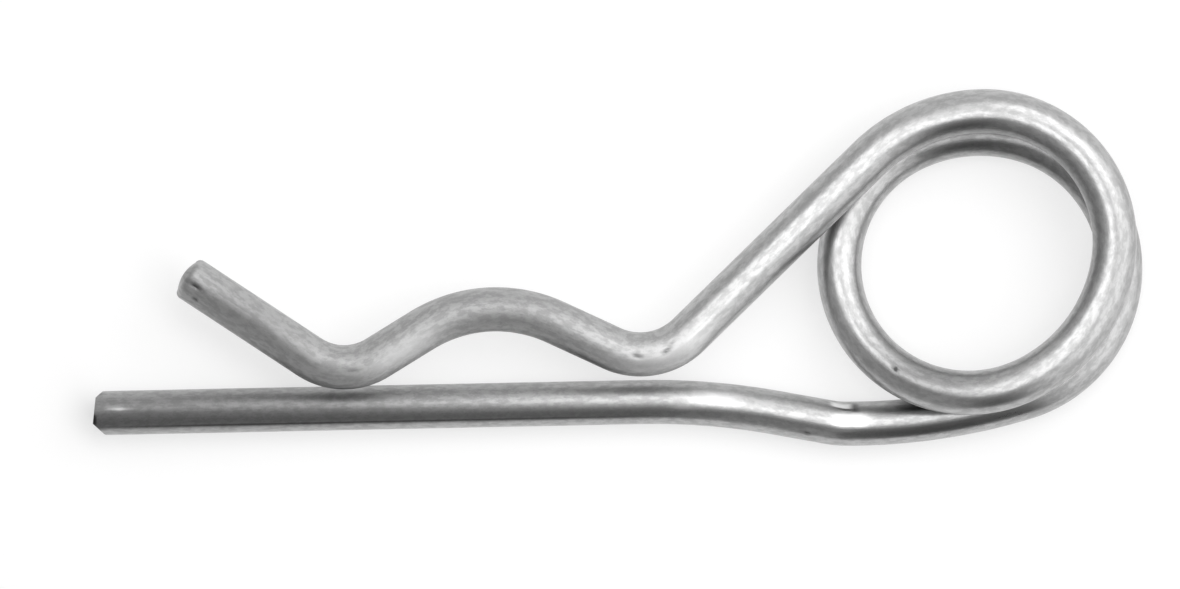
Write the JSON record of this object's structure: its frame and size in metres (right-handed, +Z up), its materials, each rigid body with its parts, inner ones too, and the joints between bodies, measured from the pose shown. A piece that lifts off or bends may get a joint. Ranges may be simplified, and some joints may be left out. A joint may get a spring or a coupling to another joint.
{
  "type": "hitch r clip pin",
  "caption": "Spring wire R clip with a straight leg, a coil and a wavy bent leg, pushed through a shaft's cross hole to lock it.",
  "frame": {"origin": "middle of the coil's lower turn, on the surface that the clip lies on", "axes": "+X from the leg tips to the coil, along the straight leg; +Y from the straight leg to the bent leg; +Z up, along the coil's axis"},
  "size_m": [0.0949, 0.0318, 0.0082],
  "materials": {
    "zinc_plate": "bright zinc plate over drawn spring steel wire, faint draw lines and handling marks"
  },
  "bodies": {
    "root": {"r_clip": "zinc_plate"}
  },
  "joints": []
}
